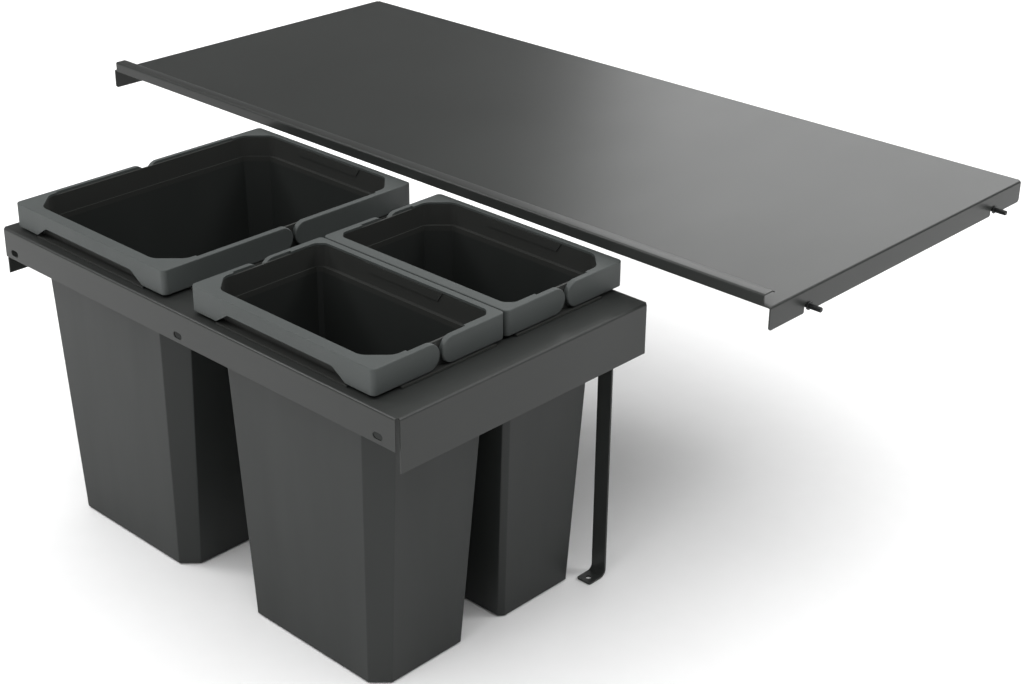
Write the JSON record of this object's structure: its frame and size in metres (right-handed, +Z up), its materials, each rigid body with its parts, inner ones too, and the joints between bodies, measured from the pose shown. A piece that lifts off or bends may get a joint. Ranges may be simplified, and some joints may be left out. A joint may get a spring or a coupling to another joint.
{
  "type": "pull-out waste sorter",
  "caption": "Pull-out waste sorter for a base cabinet: steel carrier frame with lift-out bins and swing handles, and a steel cover shelf above.",
  "frame": {"origin": "midpoint of the axes of the four shelf pegs, which hold the cover shelf in the cabinet", "axes": "+Z up, the front faces -Y, +X to the right seen from the front; the carrier is pulled out towards -Y"},
  "size_m": [0.9922, 0.7573, 0.3594],
  "materials": {
    "anthracite_steel": "satin",
    "bin_plastic": "matte",
    "handle_plastic": "matte",
    "dark_hardware": "satin"
  },
  "bodies": {
    "shelf": {"cover_shelf": "anthracite_steel", "shelf_peg_front_left": "dark_hardware", "shelf_peg_rear_left": "dark_hardware", "shelf_peg_front_right": "dark_hardware", "shelf_peg_rear_right": "dark_hardware"},
    "carrier": {"carrier_frame": "anthracite_steel", "support_bracket_left": "anthracite_steel", "support_bracket_right": "anthracite_steel", "bracket_bolts": "dark_hardware", "bracket_nuts": "dark_hardware"},
    "large_bin_body": {"large_bin": "bin_plastic"},
    "front_small_bin_body": {"front_small_bin": "bin_plastic"},
    "rear_small_bin_body": {"rear_small_bin": "bin_plastic"},
    "large_bin_front_handle_body": {"large_bin_front_handle": "handle_plastic"},
    "large_bin_rear_handle_body": {"large_bin_rear_handle": "handle_plastic"},
    "front_small_bin_front_handle_body": {"front_small_bin_front_handle": "handle_plastic"},
    "front_small_bin_rear_handle_body": {"front_small_bin_rear_handle": "handle_plastic"},
    "rear_small_bin_front_handle_body": {"rear_small_bin_front_handle": "handle_plastic"},
    "rear_small_bin_rear_handle_body": {"rear_small_bin_rear_handle": "handle_plastic"}
  },
  "joints": [
    {"name": "carrier_slide", "type": "slide", "parent": "shelf", "child": "carrier", "axis": [0, -1, 0], "range_m": [-0.325, 0]},
    {"name": "large_bin_lift", "type": "slide", "parent": "carrier", "child": "large_bin_body", "axis": [0, 0, 1], "range_m": [0, 0.33]},
    {"name": "large_bin_front_handle_hinge", "type": "hinge", "parent": "large_bin_body", "child": "large_bin_front_handle_body", "pos_m": [-0.08605, -0.3916, -0.00055], "axis": [-1, 0, 0], "range_deg": [0, 90]},
    {"name": "large_bin_rear_handle_hinge", "type": "hinge", "parent": "large_bin_body", "child": "large_bin_rear_handle_body", "pos_m": [-0.08605, -0.363, -0.00055], "axis": [1, 0, 0], "range_deg": [0, 90]},
    {"name": "front_small_bin_lift", "type": "slide", "parent": "carrier", "child": "front_small_bin_body", "axis": [0, 0, 1], "range_m": [0, 0.33]},
    {"name": "front_small_bin_front_handle_hinge", "type": "hinge", "parent": "front_small_bin_body", "child": "front_small_bin_front_handle_body", "pos_m": [0.1965, -0.4705, -0.00055], "axis": [-1, 0, 0], "range_deg": [0, 90]},
    {"name": "front_small_bin_rear_handle_hinge", "type": "hinge", "parent": "front_small_bin_body", "child": "front_small_bin_rear_handle_body", "pos_m": [0.1965, -0.4419, -0.00055], "axis": [1, 0, 0], "range_deg": [0, 90]},
    {"name": "rear_small_bin_lift", "type": "slide", "parent": "carrier", "child": "rear_small_bin_body", "axis": [0, 0, 1], "range_m": [0, 0.33]},
    {"name": "rear_small_bin_front_handle_hinge", "type": "hinge", "parent": "rear_small_bin_body", "child": "rear_small_bin_front_handle_body", "pos_m": [0.1965, -0.3125, -0.00055], "axis": [-1, 0, 0], "range_deg": [0, 90]},
    {"name": "rear_small_bin_rear_handle_hinge", "type": "hinge", "parent": "rear_small_bin_body", "child": "rear_small_bin_rear_handle_body", "pos_m": [0.1965, -0.2839, -0.00055], "axis": [1, 0, 0], "range_deg": [0, 90]}
  ]
}
